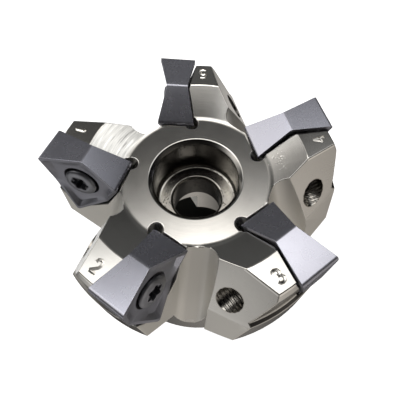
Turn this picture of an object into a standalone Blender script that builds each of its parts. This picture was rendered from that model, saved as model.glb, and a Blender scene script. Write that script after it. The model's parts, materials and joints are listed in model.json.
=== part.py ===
"""Indexable face mill: one turned and milled cutter body, five double-sided inserts, five insert screws.

Metres, +Z towards the cutting end. The origin is on the axis, in the rear face that seats on the arbor.
Every tooth is laid out once, in a tooth frame: X runs outwards along the insert, Y in the cutting direction.
"""

from math import atan2, cos, pi, radians, sin, sqrt, tan

import bmesh
import bpy
from mathutils import Matrix, Vector

# Overall sizes
CUTTING_DIAMETER = 0.0635
OVERALL_HEIGHT = 0.040
TOOTH_COUNT = 5
FIRST_TOOTH_ANGLE = radians(162.0)
PIECE_GAP = 0.0003

# Turned hub and bore
HUB_DIAMETER = 0.0486
HUB_EDGE_CHAMFER = 0.0004
BORE_DIAMETER = 0.022
BORE_DEPTH = 0.0190
BORE_CHAMFER = 0.0007
THROUGH_HOLE_DIAMETER = 0.011
THROUGH_HOLE_CHAMFER = 0.00045
COUNTERBORE_DIAMETER = 0.018
COUNTERBORE_DEPTH = 0.0091
COUNTERBORE_CHAMFER = 0.0009
COUNTERBORE_CORNER = 0.00065
DRIVE_SLOT_WIDTH = 0.0104
DRIVE_SLOT_DEPTH = 0.0072
DRIVE_SLOT_ANGLE = radians(120.0)

# Turned front: a flat ring, a cone that rises to the teeth, a flat land on each tooth
RING_FACE_DROP = 0.0051
RING_FACE_DIAMETER = 0.030
RING_BLEND_WIDTH = 0.0013
LAND_DROP = 0.0016
LAND_INNER_DIAMETER = 0.0458
LAND_BEVEL_WIDTH = 0.0008
LAND_BEVEL_DROP = 0.0016

# Outside of the toothed part, measured in from the cutting diameter and down from the insert tips
BODY_CLEARANCE = 0.00075
BODY_STEP_WIDTH = 0.0009
BODY_STEP_RAMP = 0.0005
BODY_STEP_DROP = 0.0109
BODY_RIM_DROP = 0.0199
FLARE_SLOPE = 1.0

# Double-sided trigon insert: thick sharp corners, a steep bank down to a flat seat, a countersunk hole
INSERT_INSCRIBED_RADIUS = 0.0071
INSERT_SHARP_ANGLE = radians(90.0)
INSERT_BLUNT_ANGLE = radians(150.0)
INSERT_NOSE_RADIUS = 0.0008
INSERT_BLUNT_RADIUS = 0.0012
INSERT_SHARP_HALF_THICKNESS = 0.00413
INSERT_BLUNT_HALF_THICKNESS = 0.00235
INSERT_LAND_WIDTH = 0.0007
INSERT_BANK_WIDTH = 0.0009
INSERT_BANK_FOOT_SHARE = 0.3
INSERT_SEAT_HALF_THICKNESS = 0.0023
INSERT_SEAT_RADIUS = 0.0047
INSERT_HOLE_DIAMETER = 0.0052
INSERT_SINK_DIAMETER = 0.0081
INSERT_SINK_DEPTH = 0.0016
INSERT_LIFT = 0.0048
INSERT_RAKE = radians(5.5)

# Insert screw with a six-lobe recess in a crowned head, leaning so that it pulls the insert into its corner
SCREW_HEAD_DIAMETER = 0.0070
SCREW_HEAD_RISE = 0.0006
SCREW_HEAD_RIM = 0.0005
SCREW_HEAD_EDGE = 0.0002
SCREW_HEAD_CONE = 0.0016
SCREW_CROWN_DIAMETER = 0.0046
SCREW_CROWN_RISE = 0.0003
SCREW_SHANK_DIAMETER = 0.0046
SCREW_LENGTH = 0.0138
SCREW_TIP_CHAMFER = 0.0005
SCREW_LEAN = radians(2.3)
LOBE_OUTER_DIAMETER = 0.0039
LOBE_INNER_DIAMETER = 0.0028
LOBE_COUNT = 6
LOBE_DEPTH = 0.0020
TAPPED_HOLE_LENGTH = 0.028

# Insert pocket, with a drilled relief where its inner wall ends
POCKET_ROOF_MARGIN = 0.0035
POCKET_BLUNT_EASE = 0.00015
POCKET_SHELF_WIDTH = 0.0010
CORNER_RELIEF_DIAMETER = 0.0030
CORNER_RELIEF_BELOW = 0.0080
CORNER_RELIEF_ABOVE = 0.0040
CORNER_RELIEF_SHIFT = 0.0005

# Chip gullet in front of each tooth: a face in line with the insert, a sloping floor, a round far wall
FACE_ABOVE_INSERT_MIDDLE = 0.0030
GULLET_LEAN = radians(17.2)
GULLET_FLOOR_TURN = radians(30.5)
GULLET_WIDTH = 0.0078
GULLET_FLOOR_OFFSET = -0.0111
GULLET_WALL_RADIUS = 0.0040
GULLET_FACE_FILLET = 0.0030

# Back of each tooth: an upper relief plane from the land's inner corner, and a steeper one below it
BACK_CORNER_ANGLE = radians(-13.5)
BACK_YAW = radians(13.5)
BACK_TILT = radians(28.1)
LOWER_BACK_ANGLE = radians(-21.9)
LOWER_BACK_INSET = 0.0024
LOWER_BACK_DROP = 0.0132
LOWER_BACK_YAW = radians(18.4)
LOWER_BACK_TILT = radians(15.6)
BACK_CUT_STAND_OFF = 0.0013

# Finishes as colour, roughness and metallic share
NICKEL_FINISH = ((0.56, 0.55, 0.52), 0.28, 1.0)
CARBIDE_FINISH = ((0.16, 0.16, 0.19), 0.38, 0.6)
SCREW_FINISH = ((0.14, 0.14, 0.14), 0.40, 0.8)

# Facet counts and shading
BODY_SEGMENTS = 90
HOLE_SEGMENTS = 24
RELIEF_SEGMENTS = 16
BLEND_STEPS = 3
CORNER_STEPS = 2
NOSE_STEPS = 3
BLUNT_STEPS = 1
EDGE_STEPS = 4
FILLET_STEPS = 6
SHARP_EDGE_ANGLE = radians(28.0)

# Worked-out sizes and the insert's frame
RING_FACE_HEIGHT = OVERALL_HEIGHT - RING_FACE_DROP
LAND_HEIGHT = OVERALL_HEIGHT - LAND_DROP
LOWER_BODY_RADIUS = CUTTING_DIAMETER / 2 - BODY_CLEARANCE
UPPER_BODY_RADIUS = LOWER_BODY_RADIUS - BODY_STEP_WIDTH
SCREW_HEAD_TOP = INSERT_SEAT_HALF_THICKNESS + SCREW_HEAD_RISE
CUT_REACH = 2 * CUTTING_DIAMETER
FIRST_SHARP_CORNER = radians(15.0)
INSERT_IN = Vector((-1, 0, 0))
INSERT_UP = Vector((0, -sin(INSERT_RAKE), cos(INSERT_RAKE)))
INSERT_AHEAD = Vector((0, cos(INSERT_RAKE), sin(INSERT_RAKE)))


def insert_middle():
    """Centre of the insert in the tooth frame, set by the cutting diameter and the overall height."""
    tip = INSERT_UP * INSERT_INSCRIBED_RADIUS + INSERT_AHEAD * INSERT_SHARP_HALF_THICKNESS
    tip_y = INSERT_LIFT + tip.y
    middle_x = sqrt((CUTTING_DIAMETER / 2) ** 2 - tip_y ** 2) - INSERT_INSCRIBED_RADIUS
    return Vector((middle_x, INSERT_LIFT, OVERALL_HEIGHT - tip.z))


INSERT_MIDDLE = insert_middle()


def tooth_matrix(index):
    """Turn from the tooth frame to the part's frame."""
    return Matrix.Rotation(FIRST_TOOTH_ANGLE + 2 * pi * index / TOOTH_COUNT, 4, "Z")


def insert_matrix():
    """From the insert's own axes (in towards the cutter's axis, up, ahead) to the tooth frame."""
    axes = Matrix((INSERT_IN, INSERT_UP, INSERT_AHEAD)).transposed().to_4x4()
    return Matrix.Translation(INSERT_MIDDLE) @ axes


def screw_matrix():
    """From the screw's own axes, with its head's top at the origin, to the tooth frame."""
    lean = Matrix.Rotation(-SCREW_LEAN, 4, "X")
    return insert_matrix() @ Matrix.Translation((0, 0, SCREW_HEAD_TOP)) @ lean


def clear_scene():
    """Remove whatever objects the file holds."""
    for item in list(bpy.data.objects):
        bpy.data.objects.remove(item, do_unlink=True)


def make_material(name, colour, roughness, metallic):
    """A plain shader with the finish's colour, roughness and metallic value."""
    material = bpy.data.materials.new(name)
    material.use_nodes = True
    shader = material.node_tree.nodes["Principled BSDF"]
    shader.inputs["Base Color"].default_value = (*colour, 1.0)
    shader.inputs["Roughness"].default_value = roughness
    shader.inputs["Metallic"].default_value = metallic
    return material


def link_mesh(name, mesh_data, material=None):
    """Put a mesh in the scene as a named object, shaded smooth between its sharp edges."""
    mesh_data.shade_smooth()
    mesh_data.set_sharp_from_angle(angle=SHARP_EDGE_ANGLE)
    item = bpy.data.objects.new(name, mesh_data)
    bpy.context.scene.collection.objects.link(item)
    if material:
        mesh_data.materials.append(material)
    return item


def loft(name, rings, closed=False):
    """Skin equal rings of points; the ends are capped, or the last ring is joined to the first."""
    form = bmesh.new()
    rows = [[form.verts.new(point) for point in ring] for ring in rings]
    count = len(rows[0])
    pairs = list(zip(rows, rows[1:]))
    if closed:
        pairs.append((rows[-1], rows[0]))
    for low, high in pairs:
        for i in range(count):
            j = (i + 1) % count
            form.faces.new((low[i], low[j], high[j], high[i]))
    if not closed:
        form.faces.new(list(reversed(rows[0])))
        form.faces.new(rows[-1])
    bmesh.ops.recalc_face_normals(form, faces=form.faces)
    mesh_data = bpy.data.meshes.new(name)
    form.to_mesh(mesh_data)
    form.free()
    return mesh_data


def circle(radius, height, count, offset=0.0):
    """Points of a circle about Z."""
    angles = [2 * pi * (i + offset) / count for i in range(count)]
    return [Vector((radius * cos(angle), radius * sin(angle), height)) for angle in angles]


def turned(name, profile, segments):
    """Turn a closed section of (radius, height) points about Z."""
    return loft(name, [circle(radius, height, segments) for radius, height in profile], closed=True)


def prism(name, outline, low, high):
    """Extrude a flat outline of (x, y) points between two heights."""
    return loft(name, [[Vector((x, y, z)) for x, y in outline] for z in (low, high)])


def arc(centre, radius, start, end, steps):
    """Points of an arc in the plane, both ends included."""
    return [
        (
            centre[0] + radius * cos(start + (end - start) * i / steps),
            centre[1] + radius * sin(start + (end - start) * i / steps),
        )
        for i in range(steps + 1)
    ]


def cutter(name, mesh_data, matrix, collection):
    """A shape that is taken away from the body: kept in its own collection and left out of the model."""
    mesh_data.transform(matrix)
    item = bpy.data.objects.new(name, mesh_data)
    item.hide_render = True
    item.display_type = "WIRE"
    collection.objects.link(item)
    return item


def wedge(name, planes, size):
    """Convex block left when a large cube is cut by planes given as (point, outward normal)."""
    form = bmesh.new()
    bmesh.ops.create_cube(form, size=size)
    for point, normal in planes:
        whole = form.verts[:] + form.edges[:] + form.faces[:]
        bmesh.ops.bisect_plane(form, geom=whole, plane_co=point, plane_no=normal, clear_outer=True)
        rim = [edge for edge in form.edges if edge.is_boundary]
        bmesh.ops.contextual_create(form, geom=rim)
    bmesh.ops.recalc_face_normals(form, faces=form.faces)
    mesh_data = bpy.data.meshes.new(name)
    form.to_mesh(mesh_data)
    form.free()
    return mesh_data


def body_profile():
    """Closed section of the turned blank, from the rear face's bore edge outwards and back down the bore."""
    hub = HUB_DIAMETER / 2
    rim = OVERALL_HEIGHT - BODY_RIM_DROP
    step = OVERALL_HEIGHT - BODY_STEP_DROP
    ring = RING_FACE_DIAMETER / 2
    land_in = LAND_INNER_DIAMETER / 2
    cone_slope = (LAND_HEIGHT - RING_FACE_HEIGHT) / (land_in - (ring + RING_BLEND_WIDTH / 2))
    blend_rise = cone_slope * RING_BLEND_WIDTH / 2
    shares = [1 - i / BLEND_STEPS for i in range(BLEND_STEPS + 1)]
    sink = COUNTERBORE_DIAMETER / 2
    floor = RING_FACE_HEIGHT - COUNTERBORE_DEPTH
    corner = (sink - COUNTERBORE_CORNER, floor + COUNTERBORE_CORNER)
    hole = THROUGH_HOLE_DIAMETER / 2
    bore = BORE_DIAMETER / 2
    outside = [
        (bore + BORE_CHAMFER, 0.0),
        (hub - HUB_EDGE_CHAMFER, 0.0),
        (hub, HUB_EDGE_CHAMFER),
        (hub, rim - (LOWER_BODY_RADIUS - hub) / FLARE_SLOPE),
        (LOWER_BODY_RADIUS, rim),
        (LOWER_BODY_RADIUS, step - BODY_STEP_RAMP),
        (UPPER_BODY_RADIUS, step),
        (UPPER_BODY_RADIUS, LAND_HEIGHT - LAND_BEVEL_DROP),
        (UPPER_BODY_RADIUS - LAND_BEVEL_WIDTH, LAND_HEIGHT),
        (land_in, LAND_HEIGHT),
    ]
    blend = [(ring + RING_BLEND_WIDTH * share, RING_FACE_HEIGHT + blend_rise * share**2) for share in shares]
    inside = [
        (sink + COUNTERBORE_CHAMFER, RING_FACE_HEIGHT),
        (sink, RING_FACE_HEIGHT - COUNTERBORE_CHAMFER),
    ]
    inside += arc(corner, COUNTERBORE_CORNER, 0.0, -pi / 2, CORNER_STEPS)
    inside += [
        (hole + THROUGH_HOLE_CHAMFER, floor),
        (hole, floor - THROUGH_HOLE_CHAMFER),
        (hole, BORE_DEPTH),
        (bore, BORE_DEPTH),
        (bore, BORE_CHAMFER),
    ]
    return outside + blend + inside


def gullet_outline():
    """Section of the chip gullet: x along the floor's slope direction, y ahead of the insert's middle."""
    face = FACE_ABOVE_INSERT_MIDDLE
    wall = face + GULLET_WIDTH
    far = CUT_REACH
    wall_centre = (GULLET_FLOOR_OFFSET + GULLET_WALL_RADIUS, wall - GULLET_WALL_RADIUS)
    floor_foot = wall_centre[1] - face
    floor_head_x = GULLET_FLOOR_OFFSET + floor_foot * tan(GULLET_FLOOR_TURN)
    turn = pi / 2 - GULLET_FLOOR_TURN
    reach = GULLET_FACE_FILLET * tan(turn / 2)
    fillet_centre = (floor_head_x + reach, face + GULLET_FACE_FILLET)
    points = [(far, face)]
    points += arc(fillet_centre, GULLET_FACE_FILLET, -pi / 2, -pi / 2 - turn, FILLET_STEPS)
    points += arc(wall_centre, GULLET_WALL_RADIUS, pi, pi / 2, FILLET_STEPS)
    points.append((far, wall))
    return points


def gullet_matrix():
    """From the gullet's section axes (floor slope, ahead, along) to the tooth frame."""
    slope = INSERT_UP * sin(GULLET_LEAN) - INSERT_IN * cos(GULLET_LEAN)
    along = slope.cross(INSERT_AHEAD)
    axes = Matrix((slope, INSERT_AHEAD, along)).transposed().to_4x4()
    return Matrix.Translation(INSERT_MIDDLE) @ axes


def plane_normal(yaw, tilt):
    """Outward normal of a plane at the back of a tooth, in the tooth frame."""
    return Vector((sin(yaw) * cos(tilt), -cos(yaw) * cos(tilt), sin(tilt)))


def back_corners():
    """Points that the upper and the lower plane of a tooth's back pass through, in the tooth frame."""
    upper_radius = LAND_INNER_DIAMETER / 2
    lower_radius = LOWER_BODY_RADIUS - LOWER_BACK_INSET
    upper = Vector((upper_radius, 0, LAND_HEIGHT))
    lower = Vector((lower_radius, 0, OVERALL_HEIGHT - LOWER_BACK_DROP))
    upper.rotate(Matrix.Rotation(BACK_CORNER_ANGLE, 3, "Z"))
    lower.rotate(Matrix.Rotation(LOWER_BACK_ANGLE, 3, "Z"))
    return upper, lower


def back_planes(corner, yaw, tilt):
    """Planes round the space behind one tooth: its back, the preceding tooth's face and its gullet floor."""
    before = Matrix.Rotation(-2 * pi / TOOTH_COUNT, 4, "Z")
    turn = before.to_3x3()
    section = gullet_matrix().to_3x3()
    floor_normal = turn @ (section @ Vector((-cos(GULLET_FLOOR_TURN), -sin(GULLET_FLOOR_TURN), 0)))
    wall_y = FACE_ABOVE_INSERT_MIDDLE + GULLET_WIDTH - GULLET_WALL_RADIUS
    wall_foot = Vector((GULLET_FLOOR_OFFSET + BACK_CUT_STAND_OFF, wall_y, 0))
    face_point = before @ (INSERT_MIDDLE + INSERT_AHEAD * (FACE_ABOVE_INSERT_MIDDLE + GULLET_WALL_RADIUS))
    return [
        (corner, -plane_normal(yaw, tilt)),
        (face_point, turn @ -INSERT_AHEAD),
        (before @ (gullet_matrix() @ wall_foot), floor_normal),
    ]


def trigon_corners(inscribed):
    """Sharp and blunt corners in turn, anticlockwise, as (angle, reach, sharp) about the insert's middle."""
    reaches = (inscribed / sin(INSERT_SHARP_ANGLE / 2), inscribed / sin(INSERT_BLUNT_ANGLE / 2))
    return [(FIRST_SHARP_CORNER + pi / 3 * i, reaches[i % 2], i % 2 == 0) for i in range(6)]


def trigon_outline(inscribed):
    """Rounded trigon outline; every size of it gives the same number of points."""
    corners = []
    for angle, reach, sharp in trigon_corners(inscribed):
        half = (INSERT_SHARP_ANGLE if sharp else INSERT_BLUNT_ANGLE) / 2
        radius = INSERT_NOSE_RADIUS if sharp else INSERT_BLUNT_RADIUS
        steps = NOSE_STEPS if sharp else BLUNT_STEPS
        centre_reach = reach - radius / sin(half)
        centre = (centre_reach * cos(angle), centre_reach * sin(angle))
        sweep = pi / 2 - half
        corners.append(arc(centre, radius, angle - sweep, angle + sweep, steps))
    points = []
    for corner, following in zip(corners, corners[1:] + corners[:1]):
        (x0, y0), (x1, y1) = corner[-1], following[0]
        shares = [i / EDGE_STEPS for i in range(1, EDGE_STEPS)]
        points += corner
        points += [(x0 + (x1 - x0) * share, y0 + (y1 - y0) * share) for share in shares]
    return points


def edge_height(x, y):
    """Half thickness of the insert at its rim: thick at the sharp corners and thin at the blunt ones."""
    sector = (atan2(y, x) - FIRST_SHARP_CORNER - pi / 3) % (2 * pi / 3)
    from_blunt = min(sector, 2 * pi / 3 - sector)
    blunt_side = pi / 2 - INSERT_BLUNT_ANGLE / 2
    sharp_side = pi / 2 - INSERT_SHARP_ANGLE / 2
    share = (tan(from_blunt - blunt_side) + tan(blunt_side)) / (tan(sharp_side) + tan(blunt_side))
    return INSERT_BLUNT_HALF_THICKNESS + share * (INSERT_SHARP_HALF_THICKNESS - INSERT_BLUNT_HALF_THICKNESS)


def insert_rings():
    """Rings of the insert's upper half, from the rim inwards and down the screw hole."""
    rim = trigon_outline(INSERT_INSCRIBED_RADIUS)
    land = trigon_outline(INSERT_INSCRIBED_RADIUS - INSERT_LAND_WIDTH)
    foot = trigon_outline(INSERT_INSCRIBED_RADIUS - INSERT_LAND_WIDTH - INSERT_BANK_WIDTH)
    heights = [edge_height(x, y) for x, y in rim]
    seat = INSERT_SEAT_HALF_THICKNESS
    feet = [seat + INSERT_BANK_FOOT_SHARE * (height - INSERT_BLUNT_HALF_THICKNESS) for height in heights]
    rings = [
        [Vector((x, y, height)) for (x, y), height in zip(rim, heights)],
        [Vector((x, y, height)) for (x, y), height in zip(land, heights)],
        [Vector((x, y, height)) for (x, y), height in zip(foot, feet)],
    ]
    rounds = [
        (INSERT_SEAT_RADIUS, seat),
        (INSERT_SINK_DIAMETER / 2, seat),
        (INSERT_HOLE_DIAMETER / 2, seat - INSERT_SINK_DEPTH),
    ]
    for radius, height in rounds:
        ring = []
        for x, y in rim:
            angle = atan2(y, x)
            ring.append(Vector((radius * cos(angle), radius * sin(angle), height)))
        rings.append(ring)
    return rings


def insert_mesh():
    """Closed solid of one insert, the same on both sides."""
    upper = insert_rings()
    lower = [[Vector((p.x, p.y, -p.z)) for p in ring] for ring in reversed(upper)]
    return loft("insert", lower + upper, closed=True)


def pocket_corners(inscribed):
    """Corners of the pocket's floor: deep under the insert's sharp corners, shallow under the blunt ones."""
    deep = -(INSERT_SHARP_HALF_THICKNESS + PIECE_GAP)
    shallow = -(INSERT_BLUNT_HALF_THICKNESS + PIECE_GAP + POCKET_BLUNT_EASE)
    points = []
    for angle, reach, sharp in trigon_corners(inscribed):
        points.append(Vector((reach * cos(angle), reach * sin(angle), deep if sharp else shallow)))
    return points


def pocket_mesh():
    """Cutter for the insert's pocket: the seat follows the insert's underside and opens up and outwards."""
    inner_sharp, top_blunt, outer_sharp, outer_blunt, low_sharp, inner_blunt = pocket_corners(
        INSERT_INSCRIBED_RADIUS + PIECE_GAP
    )
    nose_loss = INSERT_NOSE_RADIUS * (1 / sin(INSERT_SHARP_ANGLE / 2) - 1)
    wall_top = inner_sharp.lerp(inner_blunt, nose_loss / (inner_sharp.x - inner_blunt.x))
    far = 2 * INSERT_INSCRIBED_RADIUS
    outline = [
        wall_top,
        Vector((wall_top.x, far, wall_top.z)),
        Vector((top_blunt.x, far, top_blunt.z)),
        Vector((outer_sharp.x, far, outer_sharp.z)),
        Vector((-far, far, outer_sharp.z)),
        Vector((-far, outer_sharp.y, outer_sharp.z)),
        Vector((-far, outer_blunt.y, outer_blunt.z)),
        outer_blunt,
        low_sharp,
        inner_blunt,
    ]
    form = bmesh.new()
    floor = [form.verts.new(point) for point in outline]
    roof_height = FACE_ABOVE_INSERT_MIDDLE + POCKET_ROOF_MARGIN
    roof = [form.verts.new((point.x, point.y, roof_height)) for point in outline]
    blunt = form.verts.new(top_blunt)
    sharp = form.verts.new(outer_sharp)
    shelf_ring = pocket_corners(INSERT_INSCRIBED_RADIUS - POCKET_SHELF_WIDTH)
    shelf = [form.verts.new(point) for point in shelf_ring]
    seat_depth = -(INSERT_SEAT_HALF_THICKNESS + PIECE_GAP)
    pad_count = 2 * len(shelf)
    pad_ring = circle(INSERT_SEAT_RADIUS - PIECE_GAP, seat_depth, pad_count, 0.5)
    pad = [form.verts.new(point) for point in pad_ring]
    for i in range(len(outline)):
        j = (i + 1) % len(outline)
        form.faces.new((floor[i], floor[j], roof[j], roof[i]))
    form.faces.new(roof)
    form.faces.new(pad)
    form.faces.new((floor[0], floor[1], floor[2], blunt))
    form.faces.new((blunt, floor[2], floor[3], sharp))
    form.faces.new((sharp, floor[3], floor[4], floor[5]))
    form.faces.new((sharp, floor[5], floor[6], floor[7]))
    rim = [floor[0], blunt, sharp, floor[7], floor[8], floor[9]]
    for i in range(len(shelf)):
        j = (i + 1) % len(shelf)
        near, middle, far_end = [pad[(2 * i + step) % pad_count] for step in range(3)]
        form.faces.new((rim[i], shelf[i], shelf[j]))
        form.faces.new((rim[i], shelf[j], rim[j]))
        form.faces.new((shelf[i], near, middle))
        form.faces.new((shelf[i], middle, shelf[j]))
        form.faces.new((shelf[j], middle, far_end))
    bmesh.ops.recalc_face_normals(form, faces=form.faces)
    mesh_data = bpy.data.meshes.new("pocket")
    form.to_mesh(mesh_data)
    form.free()
    return mesh_data


def relief_matrix():
    """Place of the drilled relief: beside the insert's inner corner, along the pocket's inner wall."""
    corners = pocket_corners(INSERT_INSCRIBED_RADIUS)
    wall = (corners[-1] - corners[0]).to_2d().to_3d()
    direction = insert_matrix().to_3x3() @ wall
    tip = insert_matrix() @ corners[0]
    place = Vector((tip.x + CORNER_RELIEF_SHIFT, tip.y + CORNER_RELIEF_SHIFT + PIECE_GAP, RING_FACE_HEIGHT))
    return Matrix.Translation(place) @ direction.to_track_quat("Z", "Y").to_matrix().to_4x4()


def lobe_outline(count):
    """Six-lobe recess as a wavy circle."""
    middle = (LOBE_OUTER_DIAMETER + LOBE_INNER_DIAMETER) / 4
    swing = (LOBE_OUTER_DIAMETER - LOBE_INNER_DIAMETER) / 4
    points = []
    for i in range(count):
        angle = 2 * pi * i / count
        radius = middle + swing * cos(LOBE_COUNT * angle)
        points.append((radius * cos(angle), radius * sin(angle)))
    return points


def screw_mesh():
    """Countersunk screw about Z with its head's rim at zero; the recess is part of one skin."""
    shank = SCREW_SHANK_DIAMETER / 2
    head = SCREW_HEAD_DIAMETER / 2
    lobes = lobe_outline(HOLE_SEGMENTS)
    rings = [
        circle(shank - SCREW_TIP_CHAMFER, -SCREW_LENGTH, HOLE_SEGMENTS),
        circle(shank, SCREW_TIP_CHAMFER - SCREW_LENGTH, HOLE_SEGMENTS),
        circle(shank, -(SCREW_HEAD_RIM + SCREW_HEAD_CONE), HOLE_SEGMENTS),
        circle(head, -SCREW_HEAD_RIM, HOLE_SEGMENTS),
        circle(head, -SCREW_HEAD_EDGE, HOLE_SEGMENTS),
        circle(head - SCREW_HEAD_EDGE, 0.0, HOLE_SEGMENTS),
        circle(SCREW_CROWN_DIAMETER / 2, SCREW_CROWN_RISE, HOLE_SEGMENTS),
        [Vector((x, y, SCREW_CROWN_RISE)) for x, y in lobes],
        [Vector((x, y, -LOBE_DEPTH)) for x, y in lobes],
    ]
    return loft("insert_screw", rings)


def build_cutters(collection):
    """Everything that is milled or drilled out of the turned blank."""
    half = DRIVE_SLOT_WIDTH / 2
    across = [(-CUT_REACH, -half), (CUT_REACH, -half), (CUT_REACH, half), (-CUT_REACH, half)]
    slot = prism("drive_slot_cut", across, -DRIVE_SLOT_DEPTH, DRIVE_SLOT_DEPTH)
    cutter("drive_slot_cut", slot, Matrix.Rotation(DRIVE_SLOT_ANGLE, 4, "Z"), collection)
    upper_corner, lower_corner = back_corners()
    hole_radius = SCREW_SHANK_DIAMETER / 2 + PIECE_GAP
    hole_ends = (-TAPPED_HOLE_LENGTH, -SCREW_HEAD_TOP)
    relief_ends = (-CORNER_RELIEF_ABOVE, CORNER_RELIEF_BELOW)
    for index in range(TOOTH_COUNT):
        tooth = tooth_matrix(index)
        label = index + 1
        gullet = prism("gullet_cut", gullet_outline(), -CUT_REACH, CUT_REACH)
        cutter(f"gullet_cut_{label}", gullet, tooth @ gullet_matrix(), collection)
        upper_planes = back_planes(upper_corner, BACK_YAW, BACK_TILT)
        upper = wedge("back_cut", upper_planes, CUT_REACH)
        cutter(f"back_cut_{label}", upper, tooth, collection)
        lower_planes = back_planes(lower_corner, LOWER_BACK_YAW, LOWER_BACK_TILT)
        lower = wedge("lower_back_cut", lower_planes, CUT_REACH)
        cutter(f"lower_back_cut_{label}", lower, tooth, collection)
        cutter(f"pocket_cut_{label}", pocket_mesh(), tooth @ insert_matrix(), collection)
        drill = loft("tapped_hole", [circle(hole_radius, z, HOLE_SEGMENTS) for z in hole_ends])
        cutter(f"tapped_hole_{label}", drill, tooth @ screw_matrix(), collection)
        relief_radius = CORNER_RELIEF_DIAMETER / 2
        relief = loft("corner_relief", [circle(relief_radius, z, RELIEF_SEGMENTS) for z in relief_ends])
        cutter(f"corner_relief_{label}", relief, tooth @ relief_matrix(), collection)


def main():
    """Build the cutter body, the inserts and the insert screws."""
    clear_scene()
    nickel = make_material("nickel_plated_steel", *NICKEL_FINISH)
    carbide = make_material("coated_carbide", *CARBIDE_FINISH)
    dark_steel = make_material("dark_screw_steel", *SCREW_FINISH)
    cutters = bpy.data.collections.new("cutters")
    bpy.context.scene.collection.children.link(cutters)
    build_cutters(cutters)
    body = link_mesh("cutter_body", turned("cutter_body", body_profile(), BODY_SEGMENTS), nickel)
    milling = body.modifiers.new("milling", "BOOLEAN")
    milling.operation = "DIFFERENCE"
    milling.solver = "EXACT"
    milling.operand_type = "COLLECTION"
    milling.collection = cutters
    insert_shape = insert_mesh()
    screw_shape = screw_mesh()
    for index in range(TOOTH_COUNT):
        tooth = tooth_matrix(index)
        insert = link_mesh(f"insert_{index + 1}", insert_shape, carbide if index == 0 else None)
        insert.matrix_world = tooth @ insert_matrix()
        screw = link_mesh(f"insert_screw_{index + 1}", screw_shape, dark_steel if index == 0 else None)
        screw.matrix_world = tooth @ screw_matrix()


main()
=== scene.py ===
"""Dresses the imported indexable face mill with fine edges, threads, numbers, screws, finishes and light."""

from __future__ import annotations

import json
import logging
from collections.abc import Callable
from dataclasses import dataclass
from enum import Enum
from math import cos, hypot, log, pi, radians, sin, sqrt, tau

import bmesh
import bpy
from mathutils import Matrix, Vector

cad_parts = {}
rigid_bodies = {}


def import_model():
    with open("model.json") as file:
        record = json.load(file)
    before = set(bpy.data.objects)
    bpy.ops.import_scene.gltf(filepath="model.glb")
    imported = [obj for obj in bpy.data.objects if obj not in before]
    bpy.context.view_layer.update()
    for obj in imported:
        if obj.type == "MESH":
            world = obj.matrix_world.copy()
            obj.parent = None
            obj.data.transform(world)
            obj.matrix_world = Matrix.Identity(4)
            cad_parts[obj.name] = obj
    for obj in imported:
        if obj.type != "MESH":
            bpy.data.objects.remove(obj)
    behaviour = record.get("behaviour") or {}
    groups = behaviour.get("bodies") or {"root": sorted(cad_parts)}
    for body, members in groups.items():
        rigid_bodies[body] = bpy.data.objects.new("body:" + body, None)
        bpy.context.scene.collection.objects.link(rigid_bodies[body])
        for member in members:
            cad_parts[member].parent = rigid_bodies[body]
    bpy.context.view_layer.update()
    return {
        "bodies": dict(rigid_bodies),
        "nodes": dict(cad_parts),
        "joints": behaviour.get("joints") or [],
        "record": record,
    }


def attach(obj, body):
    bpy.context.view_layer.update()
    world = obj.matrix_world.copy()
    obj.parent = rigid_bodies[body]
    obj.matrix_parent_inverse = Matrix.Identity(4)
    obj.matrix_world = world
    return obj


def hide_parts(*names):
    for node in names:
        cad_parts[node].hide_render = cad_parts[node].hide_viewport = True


LOG = logging.getLogger("face_mill")
BODY = "root"
TOOTH_COUNT = 5
FIRST_TOOTH_ANGLE = radians(162.0)
WELD_DISTANCE = 0.000002
FLAT_ANGLE = radians(0.3)
SHARP_ANGLE = radians(24.0)
EDGE_ANGLE = radians(18.0)
# Cosine of the most that a face leans and still counts as looking one way.
FACING = 0.99
SEED_SIZE = 0.001
NORMAL_WEIGHT = 80
THREAD_STEPS = 20
# Shares of a thread's pitch where its crest starts and ends, and where its root starts.
CREST_START = 0.38
CREST_END = 0.50
ROOT_START = 0.88

Colour = tuple[float, float, float]
BLACK: Colour = (0.0, 0.0, 0.0)
WHITE: Colour = (1.0, 1.0, 1.0)
NOISE_MIDDLE = 0.5


class Slot(Enum):
    """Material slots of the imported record."""

    BODY = "body_metal"
    INSERT = "insert_coating"
    SCREW = "screw_metal"


def only(item: bpy.types.Object) -> None:
    """Make one object the selected and active one."""
    bpy.ops.object.select_all(action="DESELECT")
    item.select_set(True)
    bpy.context.view_layer.objects.active = item


def edit(item: bpy.types.Object, mode: str = "VERT") -> bmesh.types.BMesh:
    """Open an object in edit mode with nothing selected.

    Args:
        item: the object to open.
        mode: what is selected there, VERT, EDGE or FACE.

    Returns:
        The mesh that is being edited.
    """
    only(item)
    bpy.ops.object.mode_set(mode="EDIT")
    bpy.ops.mesh.select_mode(type=mode)
    bpy.ops.mesh.select_all(action="DESELECT")
    return bmesh.from_edit_mesh(item.data)


def close_edit() -> None:
    """Leave edit mode."""
    bpy.ops.object.mode_set(mode="OBJECT")


def midpoint(edge: bmesh.types.BMEdge) -> Vector:
    """Middle of an edge."""
    return (edge.verts[0].co + edge.verts[1].co) / 2


def room(edge: bmesh.types.BMEdge) -> float:
    """Width of the narrower of the two faces beside an edge."""
    start = edge.verts[0].co
    along = (edge.verts[1].co - start).normalized()
    return min(max((v.co - start).cross(along).length for v in face.verts) for face in edge.link_faces)


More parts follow.
